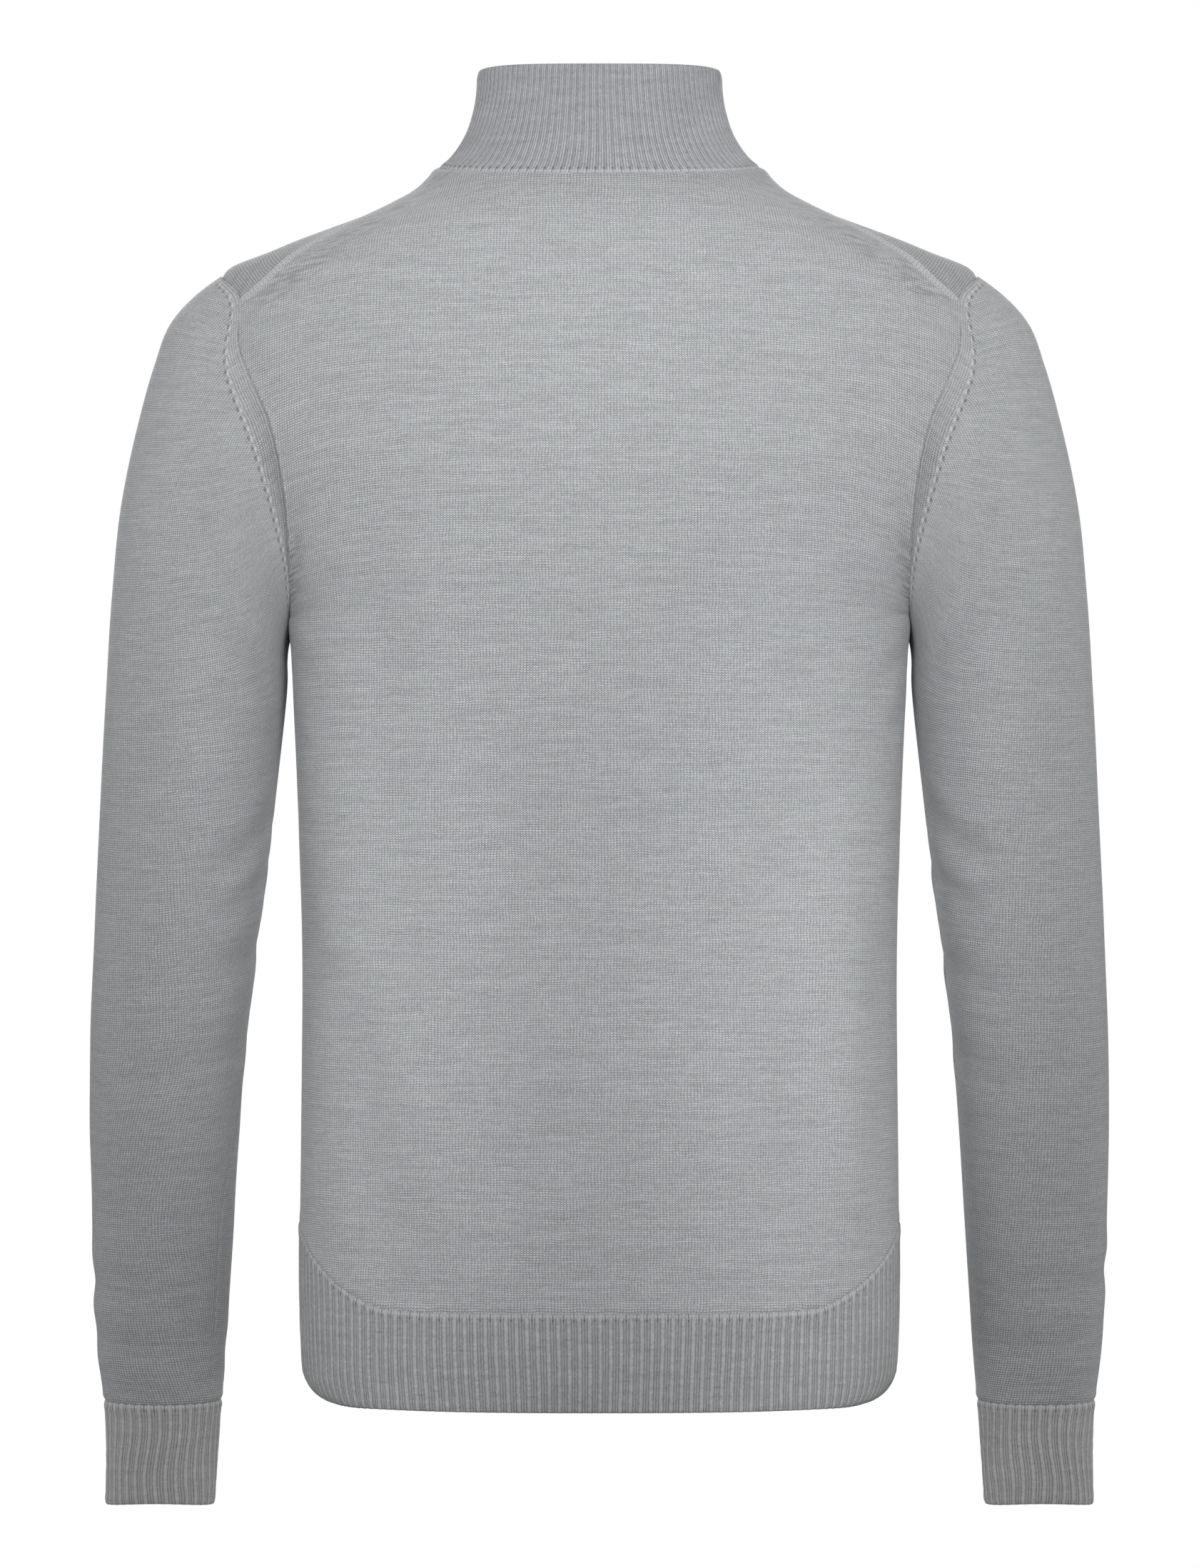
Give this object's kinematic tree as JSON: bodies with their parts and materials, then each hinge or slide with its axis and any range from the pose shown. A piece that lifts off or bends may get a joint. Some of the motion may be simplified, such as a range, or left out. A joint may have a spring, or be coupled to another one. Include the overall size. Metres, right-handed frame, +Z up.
{
  "type": "half-zip sweater",
  "caption": "Fine-gauge knitted pullover with a rib stand collar and a short front zip, filled out as worn; its pull tab swings.",
  "frame": {"origin": "midway between the two points where the shoulder seams meet the collar", "axes": "+Z up along the wearer's neck, the front faces -Y, the wearer's left is +X"},
  "size_m": [0.572, 0.2375, 0.8037],
  "materials": {
    "grey_jersey": "matt heathered jersey",
    "grey_rib": "matt heathered rib",
    "zip_tape": "woven polyester",
    "nickel": "satin nickel plate"
  },
  "bodies": {
    "sweater": {"back_panel": "grey_jersey", "front_panel": "grey_jersey", "sleeve_left": "grey_jersey", "sleeve_right": "grey_jersey", "collar": "grey_rib", "hem_rib_back": "grey_rib", "hem_rib_front": "grey_rib", "cuff_left": "grey_rib", "cuff_right": "grey_rib", "zip_tape_left": "zip_tape", "zip_tape_right": "zip_tape", "zip_chain": "nickel", "zip_slider": "nickel", "zip_bottom_stop": "nickel"},
    "pull_tab": {"zip_pull_tab": "nickel"}
  },
  "joints": [
    {"name": "pull_tab_swing", "type": "hinge", "parent": "sweater", "child": "pull_tab", "pos_m": [0, -0.0632, 0.01674], "axis": [-1, 0, 0], "range_deg": [0, 160]}
  ]
}
